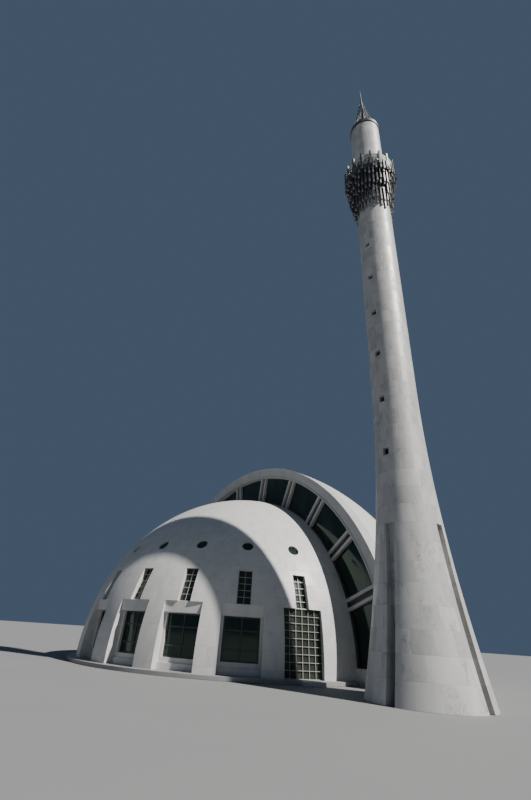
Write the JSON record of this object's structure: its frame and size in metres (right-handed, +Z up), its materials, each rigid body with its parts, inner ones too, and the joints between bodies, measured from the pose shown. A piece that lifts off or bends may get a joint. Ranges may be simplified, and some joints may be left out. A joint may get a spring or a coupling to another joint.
{
  "type": "domed mosque building with minaret",
  "caption": "Prayer hall of two nested half domes with a glazed, ribbed crescent between them, and a tall flared minaret with a rod balcony and spired cap.",
  "frame": {"origin": "centre of the two domes, on the ground under the hall's plinth", "axes": "+Z up; +X along the glazed plane, towards the minaret; -Y is the front, where the smaller dome bulges out"},
  "size_m": [26.8827, 20.71, 38.97],
  "materials": {
    "marble": "honed white marble panels with grey veins",
    "arch_stone": "smooth pale grey panels",
    "glass": "dark green tinted",
    "screen": "satin, off white",
    "dark_metal": "satin grey metal"
  },
  "bodies": {
    "root": {"balcony_floor": "arch_stone", "balcony_rods_1": "dark_metal", "balcony_rods_2": "dark_metal", "balcony_rods_3": "dark_metal", "balcony_rods_4": "dark_metal", "bay_wall_1": "marble", "bay_wall_2": "marble", "bay_wall_3": "marble", "bay_wall_4": "marble", "bay_wall_5": "marble", "bay_wall_6": "marble", "bay_wall_7": "marble", "crescent_frame_left": "arch_stone", "crescent_frame_right": "arch_stone", "crescent_glass_left": "glass", "crescent_glass_right": "glass", "crescent_sill_left": "marble", "crescent_sill_right": "marble", "front_bay_glass": "glass", "front_dome_crown": "marble", "front_dome_gore_1": "marble", "front_dome_gore_10": "marble", "front_dome_gore_2": "marble", "front_dome_gore_3": "marble", "front_dome_gore_4": "marble", "front_dome_gore_5": "marble", "front_dome_gore_6": "marble", "front_dome_gore_7": "marble", "front_dome_gore_8": "marble", "front_dome_gore_9": "marble", "great_arch_left": "arch_stone", "great_arch_right": "arch_stone", "great_arch_top": "arch_stone", "grid_screen_left": "screen", "grid_screen_right": "screen", "hall_plinth": "marble", "minaret_base": "marble", "minaret_cap": "dark_metal", "minaret_lantern": "marble", "minaret_shaft_lower": "marble", "minaret_shaft_upper": "marble", "minaret_spire": "dark_metal", "rear_bay_glass": "glass", "rear_bay_wall_1": "marble", "rear_bay_wall_2": "marble", "rear_bay_wall_3": "marble", "rear_dome_crown": "marble", "rear_dome_gore_1": "marble", "rear_dome_gore_2": "marble", "rear_dome_gore_3": "marble", "rear_dome_gore_4": "marble"}
  },
  "joints": []
}
